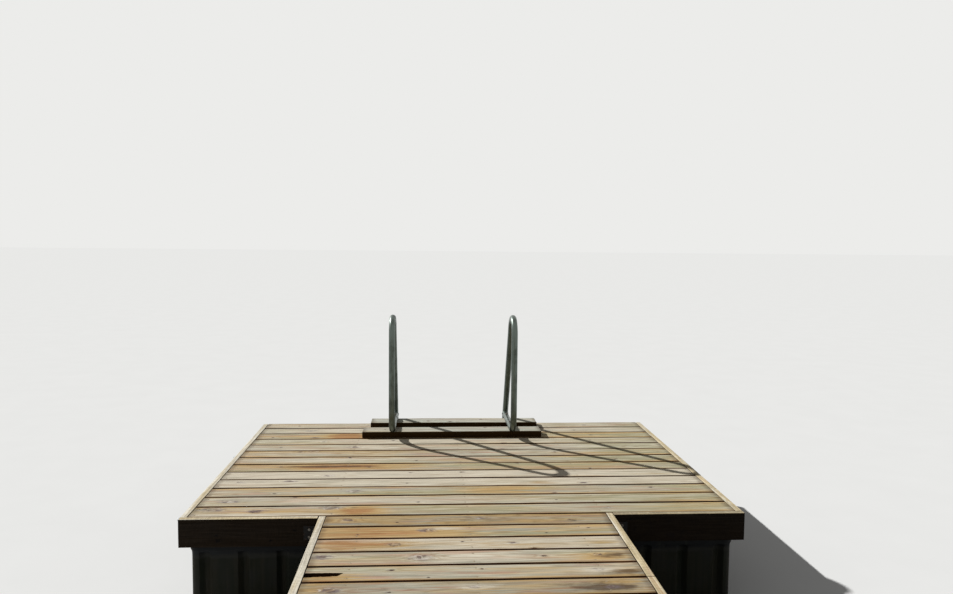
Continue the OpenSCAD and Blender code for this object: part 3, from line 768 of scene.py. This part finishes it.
# What shows on single boards of the photograph, in millimetres. A board's knots are
# (from its left end, from its near edge, radius). Its marks are (kind, from its left end,
# half length, from its near edge, half width, strength). Its tone is (warm, light, blotched).
# The platform's boards count from the shore, the gangway's from the platform.
PLATFORM_FEATURES = (
    ([(72, 88, 15), (268, 62, 13), (586, 92, 15), (1790, 60, 9)],
     [("violet", 72, 60, 85, 26, .9), ("violet", 268, 50, 60, 24, .6),
      ("pale", 260, 330, 16, 16, .9), ("honey", 400, 170, 56, 40, .3),
      ("honey", 705, 95, 55, 60, 2.1), ("dark", 690, 28, 92, 8, 1.6),
      ("violet", 600, 60, 90, 20, .6), ("dark", 2300, 60, 60, 40, .5)], (-0.05, 0.15, 0.05)),
    ([(395, 112, 9), (120, 60, 12), (1580, 40, 5), (960, 30, 5)],
     [("violet", 130, 130, 66, 26, .5), ("pale", 700, 500, 60, 40, .4),
      ("dark", 395, 14, 112, 8, 1.5), ("dark", 1580, 8, 60, 10, 1.2)], (-0.1, 0.3, -0.2)),
    ([(660, 60, 13), (1590, 10, 8), (300, 40, 6), (2060, 80, 7)],
     [("honey", 1360, 190, 60, 45, 1.1), ("violet", 660, 60, 60, 24, .5),
      ("dark", 1590, 22, 10, 8, 1.6)], (0.0, 0.1, -0.1)),
    ([(110, 80, 11), (340, 90, 10), (1755, 28, 10), (900, 50, 5)],
     [("honey", 1545, 60, 48, 26, 1.3), ("dark", 1755, 34, 28, 12, 1.5),
      ("violet", 340, 40, 90, 16, .6), ("honey", 1150, 350, 50, 50, .4)], (0.0, 0.9, -0.5)),
    ([(515, 50, 10), (912, 90, 8), (1175, 90, 8), (1640, 40, 6)],
     [("pale", 800, 600, 60, 50, .8), ("violet", 515, 46, 60, 20, .5)], (-0.05, 0.8, -0.5)),
    ([(1470, 112, 7), (1835, 12, 6), (700, 60, 7), (250, 80, 7)],
     [("honey", 560, 300, 70, 36, 2.6), ("dark", 500, 280, 76, 22, 1.9),
      ("honey", 1300, 500, 40, 40, .3)], (-0.1, 0.1, 0.0)),
    ([(585, 108, 6), (1300, 60, 8), (2010, 50, 7), (940, 50, 6)],
     [("pale", 500, 500, 60, 40, .4), ("dark", 585, 22, 112, 7, 1.2)], (0.0, 0.2, -0.2)),
    ([(305, 100, 10), (372, 104, 12), (1700, 70, 7), (1100, 40, 6)],
     [("dark", 300, 20, 104, 10, 1.5), ("dark", 372, 26, 106, 9, 1.4)], (0.1, 0.2, -0.2)),
    ([(592, 66, 13), (1420, 15, 8), (180, 70, 7), (2000, 60, 8)],
     [("dark", 592, 34, 66, 14, 1.2), ("pale", 700, 100, 60, 30, .6),
      ("violet", 470, 90, 60, 24, .4)], (-0.25, 0.4, -0.25)),
    ([(1435, 8, 9), (400, 60, 7), (800, 80, 7), (1950, 60, 6)],
     [("honey", 300, 260, 40, 30, .5), ("pale", 900, 400, 70, 40, .4)], (-0.15, 0.5, -0.35)),
    ([(340, 24, 11), (90, 40, 9), (1500, 60, 7), (1980, 60, 7)],
     [("honey", 530, 90, 60, 60, 4.2), ("dark", 60, 70, 60, 30, .7),
      ("dark", 530, 90, 60, 60, .35), ("honey", 200, 160, 40, 30, .8),
      ("dark", 340, 30, 24, 12, 1.0)], (0.15, 0.1, -0.1)),
    ([(292, 60, 12), (1180, 60, 6), (1900, 50, 6), (760, 80, 5)],
     [("violet", 292, 60, 60, 20, .7), ("pale", 500, 300, 60, 40, .4)], (-0.25, 0.5, -0.3)),
    ([(650, 60, 8), (1990, 60, 8), (1500, 50, 6), (200, 60, 6)],
     [("violet", 640, 80, 60, 30, .5)], (-0.2, 0.4, -0.3)),
)
GANGWAY_FEATURES = (
    ([(90, 70, 13), (640, 70, 9), (1020, 50, 5), (300, 40, 4)],
     [("dark", 640, 60, 70, 18, .5), ("pale", 70, 40, 60, 30, .9),
      ("honey", 350, 500, 40, 50, .6), ("dark", 1035, 16, 40, 10, .8),
      ("dark", 600, 700, 60, 80, .12)], (0.2, -0.3, 0.55)),
    ([(424, 78, 12), (900, 30, 4), (150, 40, 4), (1080, 80, 4)],
     [("honey", 180, 260, 60, 60, 1.0), ("violet", 424, 40, 78, 16, .9),
      ("pale", 500, 90, 90, 14, .8), ("honey", 800, 400, 50, 50, .6)], (0.25, 0.15, -0.1)),
    ([(300, 62, 13), (755, 60, 9), (830, 4, 7), (560, 80, 4)],
     [("honey", 120, 200, 60, 60, 1.7), ("dark", 300, 12, 60, 36, .6),
      ("honey", 1090, 55, 60, 16, 1.3), ("dark", 830, 16, 4, 7, 1.8)], (0.4, 0.7, -0.5)),
    ([(402, 66, 15), (858, 62, 7), (1060, 70, 9), (40, 80, 11)],
     [("violet", 402, 60, 60, 26, .7), ("dark", 858, 12, 62, 9, 1.2),
      ("honey", 1090, 95, 50, 30, 1.2), ("dark", 1120, 90, 60, 34, 1.7),
      ("violet", 40, 50, 80, 24, .7), ("pale", 640, 200, 60, 40, .6)], (-0.2, 0.15, -0.2)),
    ([(1036, 64, 10), (430, 20, 4), (300, 84, 7), (620, 84, 5)],
     [("pale", 1036, 70, 60, 20, .9), ("honey", 90, 120, 30, 24, 1.3),
      ("dark", 1120, 110, 40, 30, 1.6), ("dark", 1080, 90, 108, 14, 1.0),
      ("honey", 1130, 60, 30, 30, 1.0), ("pale", 430, 12, 8, 6, 1.4),
      ("pale", 682, 12, 8, 6, 1.4), ("dark", 170, 60, 58, 6, 1.2)], (0.0, 0.1, -0.1)),
    ([(100, 60, 12), (590, 70, 9), (1050, 50, 9), (300, 40, 5)],
     [("violet", 1050, 80, 50, 24, .35), ("dark", 1045, 60, 46, 13, 3.0),
      ("dark", 1000, 130, 60, 40, .6), ("pale", 590, 100, 70, 22, .8),
      ("honey", 700, 300, 40, 24, .8), ("honey", 40, 70, 60, 60, .8),
      ("violet", 100, 70, 60, 26, .7), ("honey", 1100, 90, 80, 30, 1.0)], (0.0, 0.0, 0.5)),
)
TORN_BOARD = 4
SLIVER_LENGTH, SLIVER_WIDTH, SLIVER_IN = 0.134, 0.036, 0.048
# How much of that length the near wall has, how far the far and the near wall close in,
# and how ragged each is
SLIVER_SHORT, SLIVER_TAPER, RAGGED = 0.86, (0.004, 0.006), (0.0012, 0.0014)
SCREW_DRIFT = 0.004


def dress(board, features):
    """Gives a board the knots, marks and tone that the photograph shows on it."""
    knots, marks, board.tone = features
    board.knots = [tuple(s / 1000 for s in k) for k in knots]
    board.marks = [(m[0],) + tuple(s / 1000 for s in m[1:5]) + m[5:] for m in marks]


def screw_pairs(rng, places):
    """Two screws over each joist, a few millimetres off true."""
    pairs = []
    for s in places:
        u = s + rng.uniform(-SCREW_DRIFT, SCREW_DRIFT)
        for v in (SCREW_IN, BOARD_W - SCREW_IN):
            pairs.append((u, round(v + rng.choice([-0.002, 0, 0.002]), 4)))
    return pairs


def joist_places(node, left):
    """Middles of a node's joists along X, measured from the boards' left ends."""
    xs = sorted({round(v.co.x, 4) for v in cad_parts[node].data.vertices})
    middles = [(a + b) / 2 for a, b in zip(xs, xs[1:]) if abs(b - a - JOIST_W) < 0.001]
    return [m - left for m in middles]


def lay_deck(name, node, joists, seed, features, material, screws):
    """Lays the deck boards of a node, the platform's from its shore side and a gangway
    bay's from the platform."""
    low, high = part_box(node)
    places = joist_places(joists, low.x)
    heap = Timber(screws)
    for k in range(round((high.y - low.y + BOARD_GAP) / PITCH)):
        rng = np.random.default_rng(seed + k)
        board = Board(rng, high.x - low.x, BOARD_W, BOARD_T, screws=screw_pairs(rng, places))
        if k < len(features):
            dress(board, features[k])
        if features is GANGWAY_FEATURES and k == TORN_BOARD:
            tear_sliver(board)
        y = low.y + k * PITCH if node == "platform_boards" else high.y - k * PITCH - BOARD_W
        heap.add(board, (low.x, y, low.z), X, Y)
    heap.object(name, material, "deck_timber", node)


def decks(material):
    screws = Heap()
    lay_deck("platform_deck_boards", "platform_boards", "platform_joists", 100,
             PLATFORM_FEATURES, material, screws)
    for bay in range(1, BAYS + 1):
        lay_deck(f"gangway_{bay}_deck_boards", f"gangway_boards_{bay}",
                 f"gangway_joists_{bay}", 201 + 20 * bay,
                 GANGWAY_FEATURES if bay == 1 else (), material, screws)
    screws.object("deck_screws", coated_screws(), "galvanised_steel")


def tear_sliver(board):
    """Takes the missing sliver out of a board's left end, with torn walls."""
    rng = np.random.default_rng(77)
    far = board.width - SLIVER_IN
    near = far - SLIVER_WIDTH
    past_end, past_face, steps = 0.01, 0.02, 14
    upper, lower = [(-past_end, far)], [(-past_end, near)]
    for k in range(steps + 1):
        s = k / steps
        in_far, in_near = SLIVER_TAPER[0] * s, SLIVER_TAPER[1] * s
        upper.append((SLIVER_LENGTH * s, far - in_far + rng.uniform(-RAGGED[0], RAGGED[0])))
        lower.append((SLIVER_LENGTH * (SLIVER_SHORT * s),
                      near + in_near + rng.uniform(-RAGGED[1], RAGGED[1])))
    outline = lower + upper[::-1]
    n = len(outline)
    cutter = [(u, v, z) for z in (-past_face, board.thick + past_face) for u, v in outline]
    whole = new_object("whole", board.points, board.faces)
    knife = new_object("knife", cutter, base(0, n) + lid(n, n) + skin(0, n, n))
    cut = whole.modifiers.new("cut", "BOOLEAN")
    cut.operation, cut.solver, cut.object = "DIFFERENCE", "EXACT", knife
    graph = bpy.context.evaluated_depsgraph_get()
    mesh = bpy.data.meshes.new_from_object(whole.evaluated_get(graph))
    board.points = np.array([tuple(v.co) for v in mesh.vertices])
    board.faces = [tuple(p.vertices) for p in mesh.polygons]
    meshes = [mesh, whole.data, knife.data]
    for thing in (whole, knife):
        bpy.data.objects.remove(thing)
    for mesh in meshes:
        bpy.data.meshes.remove(mesh)


# Rims and frame

PALE_TONE = (-0.3, 0.5, -0.3)
CREAM_TONE = (0.45, 0.2, -0.3)
RIM_EASE, SINGLE_EASE, FRAME_EASE = 0.002, 0.0025, 0.003


def upright_boards(name, node, seed, outward, material, slot, ease, tones=()):
    """Boards on edge that fill a node's solids, their wide faces towards outward."""
    heap = Timber()
    along, across = Z.cross(outward), Z
    for k, (low, high) in enumerate(solids_of(node)):
        size = high - low
        corner = Vector([(low if d >= 0 else high)[i] for i, d in enumerate(along + across + outward)])
        board = Board(np.random.default_rng(seed + k), abs(size.dot(along)), size.z,
                      abs(size.dot(outward)), ease=ease, crook=0.0, cup=0.0003)
        if k < len(tones):
            board.tone = tones[k]
        heap.add(board, corner, along, across)
    heap.object(name, material, slot, node)


def rims():
    pine = Pine("rim_pine", RIM, relief=0.0008, grime_and_shade=0.0, saw=1.0).material
    covered = Pine("back_rim_pine", COVERED, relief=0.0008, saw=1.0).material
    rows = (("platform_front_rim", 10, -Y, pine, RIM_EASE, ((0.5, 0.3, -0.3), (0.5, -0.8, 0.8))),
            ("platform_back_rim", 12, Y, covered, SINGLE_EASE, ()),
            ("platform_left_rim", 13, -X, pine, SINGLE_EASE, (PALE_TONE,)),
            ("platform_right_rim", 14, X, pine, SINGLE_EASE, (CREAM_TONE,)),
            ("gangway_left_rim", 15, -X, pine, RIM_EASE, (PALE_TONE,)),
            ("gangway_right_rim", 16, X, pine, RIM_EASE, (CREAM_TONE, CREAM_TONE)))
    for node, seed, outward, material, ease, tones in rows:
        name = node + ("_boards" if len(tones) > 1 else "_board")
        upright_boards(name, node, seed, outward, material, "rim_timber", ease, tones)


def landing_beam(material):
    """The beam at the shore end keeps the CAD solid's bolt holes."""
    beam = soft_copy("landing_beam_timber", "landing_beam", material, 0.002, "frame_timber")
    low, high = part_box("landing_beam")
    board = Board(np.random.default_rng(900), high.x - low.x, high.z - low.z, high.y - low.y)
    points = np.array([tuple(v.co) for v in beam.data.vertices])
    board.points = (points - np.array(low))[:, [0, 2, 1]]
    write_wood_data(beam, wood_data(board))


# Floats

def outline_ring(length, depth, radius, step):
    """Points and outward normals round a rectangle with round corners."""
    a, b = length / 2 - radius, depth / 2 - radius
    ring = []
    corners = [(a, b, 0), (-a, b, 90), (-a, -b, 180), (a, -b, 270)]
    for k, (cx, cy, start) in enumerate(corners):
        turns = max(6, round(pi / 2 * radius / (step * 0.8)))
        for t in range(turns + 1):
            angle = radians(start + 90 * t / turns)
            n = (cos(angle), sin(angle))
            ring.append((cx + radius * n[0], cy + radius * n[1], *n))
        nx, ny, _ = corners[(k + 1) % 4]
        p0 = np.array([cx + radius * n[0], cy + radius * n[1]])
        p1 = np.array([nx + radius * n[0], ny + radius * n[1]])
        count = max(2, round(np.linalg.norm(p1 - p0) / step))
        for t in range(1, count):
            p = p0 + (p1 - p0) * t / count
            ring.append((p[0], p[1], *n))
    return np.array(ring)


FLANGE_H, FLANGE_OUT, FLANGE_LIP = 0.026, 0.006, 0.005
GROOVE_R, GROOVE_PITCH, GROOVE_EASE = 0.018, 0.160, 0.002
FLOAT_CORNER_R, FLOAT_STEP = 0.044, 0.010
# The recessed panel below: (share of the outline's size, height)
PANEL = ((0.86, 0.0), (0.83, 0.006), (0.5, 0.006))
# Up the float's wall: (height, how far in from the body's face, share of the grooves)
WALL_FOOT = ((0.0, 0.030, 0), (0.0012, 0.0245, 0), (0.005, 0.0175, 0), (0.0175, 0.005, 0.3),
             (0.024, 0.001, 0.7), (0.034, 0, 1), (0.09, 0, 1), (0.15, 0, 1), (0.21, 0, 1))


def groove_depths(length, depth, xy, normal):
    """How far the upright grooves cut in at each point of a float's outline."""
    straight = np.abs(np.abs(normal).max(1) - 1) < SAME_POINT
    along = np.where(np.abs(normal[:, 1]) > 0.5, xy[:, 0], xy[:, 1])
    reach = np.where(np.abs(normal[:, 1]) > 0.5, length, depth) - 2 * (
        FLANGE_OUT + FLOAT_CORNER_R + GROOVE_R)
    count = np.floor(reach / GROOVE_PITCH)
    odd = (count % 2) * 0.5
    nearest = np.clip(np.round(along / GROOVE_PITCH - odd) + odd, -count / 2, count / 2) * GROOVE_PITCH
    d = np.abs(along - nearest) / GROOVE_R
    groove = np.where(straight, np.sqrt(np.clip(1 - d ** 2, 0, 1)) * GROOVE_R, 0)
    return groove + np.where(straight, np.clip((1.35 - d) / 0.5, 0, 1) * GROOVE_EASE, 0)


def float_body(name, node, material):
    """Moulded float: bolting flange on top, upright grooves, round lower edges."""
    low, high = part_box(node)
    length, depth, top = high - low
    ring = outline_ring(length, depth, FLOAT_CORNER_R, FLOAT_STEP)
    xy, normal = ring[:, :2], ring[:, 2:]
    grooves = groove_depths(length, depth, xy, normal)
    under = top - FLANGE_H
    wall = WALL_FOOT + ((under - 0.02, 0, 1), (under - 0.006, -0.001, 0.7), (under, -0.004, 0))
    rows = [(z, FLANGE_OUT + inset, share) for z, inset, share in wall]
    rows += [(under + 0.0005, 0.002, 0), (under + FLANGE_LIP * 0.6, 0.0, 0),
             (top - FLANGE_LIP, 0.0, 0), (top - FLANGE_LIP * 0.3, FLANGE_LIP * 0.3, 0),
             (top, FLANGE_LIP, 0)]
    centre = (low + high) / 2
    n = len(xy)
    points, faces = [], []
    for i, (z, inset, share) in enumerate(rows):
        at = xy - normal * (inset + share * grooves)[:, None]
        points.append(np.column_stack([at[:, 0] + centre.x, at[:, 1] + centre.y,
                                       np.full(n, low.z + z)]))
        if i:
            faces += skin((i - 1) * n, i * n, n)
    # Underside: a flat rim round a shallow recessed panel
    middle = np.array([centre.x, centre.y, 0])
    last = 0
    for scale, rise in PANEL:
        start = len(points) * n
        shrunk = middle + (points[0] - middle) * scale
        shrunk[:, 2] = low.z + rise
        points.append(shrunk)
        faces += skin(start, last, n)
        last = start
    faces += base(last, n) + lid((len(rows) - 1) * n, n)
    make_piece(name, np.concatenate(points), faces, material, "float_plastic", node)


def under_deck():
    """Joists, beams and floats, the gangway's bay by bay."""
    pine = Pine("frame_pine", FRAME, fade=0.5).material
    plastic = moulded_plastic()

    def beams(name, node, seed, outward):
        upright_boards(name, node, seed, outward, pine, "frame_timber", FRAME_EASE)

    beams("platform_joist_timbers", "platform_joists", 20, X)
    beams("platform_front_beam_timber", "platform_front_beam", 30, -Y)
    beams("platform_back_beam_timber", "platform_back_beam", 31, Y)
    beams("gangway_cross_beam_timbers", "gangway_cross_beams", 32, Y)
    for bay in range(1, BAYS + 1):
        beams(f"gangway_{bay}_joist_timbers", f"gangway_joists_{bay}", 50 + 5 * bay, X)
        float_body(f"gangway_{bay}_float_body", f"gangway_float_{bay}", plastic)
    landing_beam(pine)
    for side in ("left", "right"):
        float_body(f"platform_{side}_float_body", f"platform_{side}_float", plastic)


# Ladder

# The legs' ends over the caps' lowest point, and how much higher the tubes stop
CAP_SEAT, LEG_SHORT = 0.0015, 0.012
# How far the foot tubes reach into the legs, and their points before the foot's bend
FOOT_LAP, FOOT_STRAIGHT = 0.004, (0.12, 0.02)
# Weld beads: radius, ripples and wander at the feet, and radius and wander at the treads
BEAD_R, BEAD_RIPPLE, BEAD_WANDER = 0.0028, 0.0006, 0.0002
TREAD_BEAD_R, TREAD_BEAD_WANDER = 0.0024, 0.0004
# A tread's bead lies this far off the leg's face and over the tread
BEAD_OUT, BEAD_UP = 0.0006, 0.0012
BOLT_SINK = 0.0006
RIB_H = 0.002


class Ladder:
    """Where the ladder's tubes run, taken from the CAD nodes' boxes."""

    def __init__(self):
        low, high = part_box("left_handrail")
        self.left_x = (low.x + high.x) / 2
        low_r, high_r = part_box("right_handrail")
        self.right_x = (low_r.x + high_r.x) / 2
        self.rail_y = low.y + TUBE_R
        self.foot_z = low.z + TUBE_R
        self.bend_z = high.z - TUBE_R - TOP_BEND_R
        self.top_y = self.rail_y + TOP_BEND_R * (1 + cos(LEAN))
        self.top_z = self.bend_z + TOP_BEND_R * sin(LEAN)
        self.end_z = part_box("ladder_end_caps")[0].z + CAP_SEAT

    def leg_y(self, z):
        return self.top_y + (self.top_z - z) * tan(LEAN)


def arc(cy, cz, r, start, turn, steps):
    """Points in Y and Z round a centre, from a start angle through a turn, in degrees."""
    angles = [radians(start + turn * k / steps) for k in range(steps + 1)]
    return [(cy + r * cos(a), cz + r * sin(a)) for a in angles]


def handrail_path(ladder, x):
    """Middle line from the foot's weld, up, over and down the sloping leg."""
    foot_z = ladder.foot_z
    bend_y, bend_z = ladder.rail_y + FOOT_BEND_R, foot_z + FOOT_BEND_R
    path = [(ladder.leg_y(foot_z) - FOOT_LAP, foot_z)]
    path += [(bend_y + far, foot_z) for far in FOOT_STRAIGHT]
    path += arc(bend_y, bend_z, FOOT_BEND_R, 270, -90, 12)
    rise = ladder.bend_z - bend_z
    path += [(ladder.rail_y, bend_z + rise * s) for s in (0.05, 0.35, 0.65, 0.95)]
    path += arc(ladder.rail_y + TOP_BEND_R, ladder.bend_z, TOP_BEND_R, 180, degrees(LEAN) - 180, 24)
    for s in (0.02, 0.2, 0.4, 0.6, 0.8, 0.98):
        z = ladder.top_z + (ladder.end_z + LEG_SHORT - ladder.top_z) * s
        path.append((ladder.leg_y(z), z))
    return [(x, y, z) for y, z in path]


def foot_weld(ladder, x, rng):
    """Bead round the joint of the foot tube and the sloping leg."""
    path, radii = [], []
    y0 = ladder.leg_y(ladder.foot_z)
    steps = 56
    for k in range(steps):
        a = 2 * pi * k / steps
        dx, dz = TUBE_R * cos(a), TUBE_R * sin(a)
        reach = sqrt(max(TUBE_R ** 2 - dx ** 2, 0))
        path.append((x + dx, y0 + (-reach - dz * sin(LEAN)) / cos(LEAN), ladder.foot_z + dz))
        radii.append(BEAD_R + BEAD_RIPPLE * sin(k * 1.57) + rng.uniform(-BEAD_WANDER, BEAD_WANDER))
    return sweep(path, radii, 10, closed=True)


def handrails(ladder, material, fasteners):
    for side, x in (("left", ladder.left_x), ("right", ladder.right_x)):
        rng = np.random.default_rng(500 + (side == "right"))
        heap = Heap()
        heap.put(*sweep(handrail_path(ladder, x), TUBE_R, 40))
        heap.put(*foot_weld(ladder, x, rng))
        heap.object(f"{side}_handrail_tube", material, "tube_aluminium",
                    f"{side}_handrail", f"{side}_ladder_leg")
        for node, past_middle in (("ladder_front_plank", 0.030), ("ladder_rear_plank", 0.012)):
            low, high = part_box(node)
            at = (x, (low.y + high.y) / 2 + past_middle, ladder.foot_z + TUBE_R - BOLT_SINK)
            fasteners.put(*hex_bolt(at, Z, **PLANK_BOLT))


def tread_outline():
    """Folded section with round folds and grip ribs: points in Y and Z, top at 0."""
    half, h, t, fold_r = 0.042, 0.025, 0.003, 0.0045
    ribs, rib_w = 5, 0.005
    top = []
    for k in range(ribs):
        c = (k - (ribs - 1) / 2) * 2 * half / ribs
        for dy, z in ((-0.5, 0), (-0.42, 0.75), (-0.22, 1), (0.22, 1), (0.42, 0.75), (0.5, 0)):
            top.append((c + dy * rib_w, z * RIB_H))
    right = arc(half - fold_r, -fold_r, fold_r, 90, -90, 4) + [
        (half, -h + 0.001), (half - 0.001, -h), (half - t + 0.001, -h),
        (half - t, -h + 0.001)] + arc(half - fold_r, -fold_r, fold_r - t, 0, 90, 4)
    return top + right + [(-y, z) for y, z in reversed(right)]


def treads(ladder, material):
    heap = Heap()
    section = tread_outline()
    n = len(section)
    weld_r, steps = TUBE_R + BEAD_OUT, 16
    for low, high in solids_of("ladder_treads"):
        z = high.z - RIB_H
        middle = (low.y + high.y) / 2
        points = [(x, middle + dy, z + dz) for x in (ladder.left_x, ladder.right_x) for dy, dz in section]
        faces = [(k, k + n, (k + 1) % n + n, (k + 1) % n) for k in range(n)]
        heap.put(points, faces + lid(0, n) + base(n, n))
        for x, sign in ((ladder.left_x, 1), (ladder.right_x, -1)):
            rng = np.random.default_rng(int(z * 1000) + sign)
            bead = []
            for k in range(steps + 1):
                a = radians(-90 + 180 * k / steps)
                y = ladder.leg_y(z) + weld_r / cos(LEAN) * sin(a)
                bead.append((x + sign * weld_r * cos(a), y, z + BEAD_UP))
            radii = [TREAD_BEAD_R + rng.uniform(-TREAD_BEAD_WANDER, TREAD_BEAD_WANDER) for _ in bead]
            heap.put(*sweep(bead, radii, 8))
    heap.object("ladder_tread_channels", material, "tube_aluminium", "ladder_treads", smooth_angle=28)


CAP_L, CAP_R = 0.012, 0.020


def end_caps(ladder, material):
    """Moulded cap on each leg, with two grip rings and a domed end."""
    heap = Heap()
    direction = Vector((0, sin(LEAN), -cos(LEAN)))
    groove = CAP_R - 0.0006
    profile = [(0, TUBE_R + 0.0004), (0.0004, CAP_R - 0.0008), (0.0012, CAP_R), (0.003, CAP_R),
               (0.0036, groove), (0.0044, groove), (0.005, CAP_R), (0.0068, CAP_R),
               (0.0074, groove), (0.0082, groove), (0.009, CAP_R), (0.0105, CAP_R - 0.0008),
               (0.0116, CAP_R - 0.003), (CAP_L, CAP_R - 0.007)]
    low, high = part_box("ladder_end_caps")
    for x in (ladder.left_x, ladder.right_x):
        end_z = low.z + CAP_R * sin(LEAN)
        start_z = end_z + CAP_L * cos(LEAN)
        start = Vector((x, ladder.leg_y(start_z), start_z))
        path = [start + direction * s for s, _ in profile]
        heap.put(*sweep(path, [r for _, r in profile], 32))
    heap.object("ladder_rubber_caps", material, "black_rubber", "ladder_end_caps")


# Marks on the planks, as a board's marks but in metres: a dark band along each plank's near edge and
# face, and warmth near its left end.
PLANK_MARKS = [("dark", 0.5, 0.5, 0.0, 0.010, 1.0), ("honey", 0.1, 0.2, 0.03, 0.03, 0.5)]


def planks():
    material = Pine("plank_pine", PLANK).material
    for place, seed, tone in (("front", 41, (-0.35, 0.3, -0.25)), ("rear", 42, (-0.1, 0.4, -0.2))):
        node = f"ladder_{place}_plank"
        low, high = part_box(node)
        size = [far - near for near, far in zip(low, high)]
        board = Board(np.random.default_rng(seed), *size, ease=0.003, crook=0.0008)
        board.tone, board.marks = tone, PLANK_MARKS
        heap = Timber()
        heap.add(board, low, X, Y)
        heap.object(f"{place}_ladder_plank", material, "plank_timber", node)


# Metal fittings

def mooring_eyes(fasteners):
    """Four bolts through each eye's plate."""
    zinc = galvanised()
    plate, bolt_y, bolt_z = 0.008, 0.016, 0.023
    for side, sign in (("left", -1), ("right", 1)):
        node = f"{side}_mooring_eyes"
        soft_copy(f"{side}_mooring_eye_plates", node, zinc, 0.0012, "galvanised_steel")
        for low, high in solids_of(node):
            face = low.x + plate if sign > 0 else high.x - plate
            y, z = (low.y + high.y) / 2, (low.z + high.z) / 2
            for dy in (-bolt_y, bolt_y):
                for dz in (-bolt_z, bolt_z):
                    fasteners.put(*hex_bolt((face, y + dy, z + dz), (sign, 0, 0), **PLATE_BOLT))


def brackets(fasteners):
    """Two bolts through each leg of each angle."""
    soft_copy("gangway_angle_brackets", "gangway_brackets", painted_steel(), 0.001, "painted_steel")
    plate, reach, apart = 0.006, 0.036, 0.016
    for low, high in solids_of("gangway_brackets"):
        sign = 1 if low.x > 0 else -1
        corner = low.x if sign > 0 else high.x
        middle = (low.z + high.z) / 2
        for z in (middle - apart, middle + apart):
            for x, y, outward in ((reach, plate, (0, -1, 0)), (plate, reach, (sign, 0, 0))):
                at = (corner + sign * x, high.y - y, z)
                fasteners.put(*hex_bolt(at, outward, **PLATE_BOLT))


# Stage

CAMERA_AT = (1.03383, -3.19929, 1.15984)
CAMERA_TURNS = (0.07182, -0.06076, 0.00504)
FOCAL_PX = 775.56
PHOTO_W = 953
SENSOR_W = 36
KEY_FROM = (-1.25, 1.0, 1.0)
KEY_ENERGY = 4.65
KEY_ANGLE = radians(0.6)
SKY_LIGHT = 0.16
BACKDROP = (236, 236, 234)
FLOOR_REACH = 120


def camera():
    """The photograph's viewpoint, given from the platform's near left deck corner."""
    low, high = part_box("platform_front_rim")
    corner = Vector((low.x, low.y, high.z))
    ax, ay, az = CAMERA_TURNS
    tilt = Matrix.Rotation(az, 3, "Z") @ Matrix.Rotation(ay, 3, "Y") @ Matrix.Rotation(ax, 3, "X")
    right, down, forward = tilt @ Matrix(((1, 0, 0), (0, 0, -1), (0, 1, 0)))
    data = bpy.data.cameras.new("photo_camera")
    data.sensor_fit, data.sensor_width = "HORIZONTAL", SENSOR_W
    data.lens = FOCAL_PX / PHOTO_W * SENSOR_W
    data.clip_end = 500
    cam = bpy.data.objects.new("photo_camera", data)
    turn = Matrix((right, -down, -forward)).transposed().to_4x4()
    cam.matrix_world = Matrix.Translation(corner + Vector(CAMERA_AT)) @ turn
    bpy.context.scene.collection.objects.link(cam)
    bpy.context.scene.camera = cam


def lights():
    """A key lamp from behind on the left, as in the photograph, and an even pale world."""
    lamp = bpy.data.lights.new("key", "SUN")
    lamp.energy, lamp.angle = KEY_ENERGY, KEY_ANGLE
    key = bpy.data.objects.new("key", lamp)
    key.rotation_euler = Vector(KEY_FROM).to_track_quat("Z", "Y").to_euler()
    bpy.context.scene.collection.objects.link(key)
    world = bpy.data.worlds.new("studio")
    bpy.context.scene.world = world
    world.use_nodes = True
    sky = Nodes(world.node_tree)
    sky.tree.nodes.clear()
    seen = sky.math("MAXIMUM", sky.node("LightPath", output="Is Camera Ray"),
                    sky.node("LightPath", output="Is Glossy Ray"))
    light = sky.node("Background", (1, 1, 1, 1), SKY_LIGHT)
    backdrop = sky.node("Background", srgb(*BACKDROP), 1.0)
    sky.make("OutputWorld", {"Surface": sky.node("MixShader", seen, light, backdrop)})


def floor():
    m = Material("studio_floor", BACKDROP)
    m.coat(m.noise(m.at, (3, 3, 3), 4), (241, 241, 239))
    m.surface(1.0, specular=0.0)
    corners = [(x * FLOOR_REACH, y * FLOOR_REACH, 0)
               for x, y in ((-1, -1), (1, -1), (1, 1), (-1, 1))]
    piece = new_object("studio_floor", corners, lid(0, 4))
    piece.data.materials.append(m.material)


# Making it

def main():
    camera()
    lights()
    floor()
    decks(Pine("deck_pine", DECK).material)
    rims()
    under_deck()
    fasteners = Heap()
    ladder = Ladder()
    metal = aluminium()
    handrails(ladder, metal, fasteners)
    treads(ladder, metal)
    end_caps(ladder, rubber())
    planks()
    mooring_eyes(fasteners)
    brackets(fasteners)
    fasteners.object("bolt_heads", bolt_steel(), "galvanised_steel")


bpy.context.scene.view_settings.view_transform = "Standard"
main()
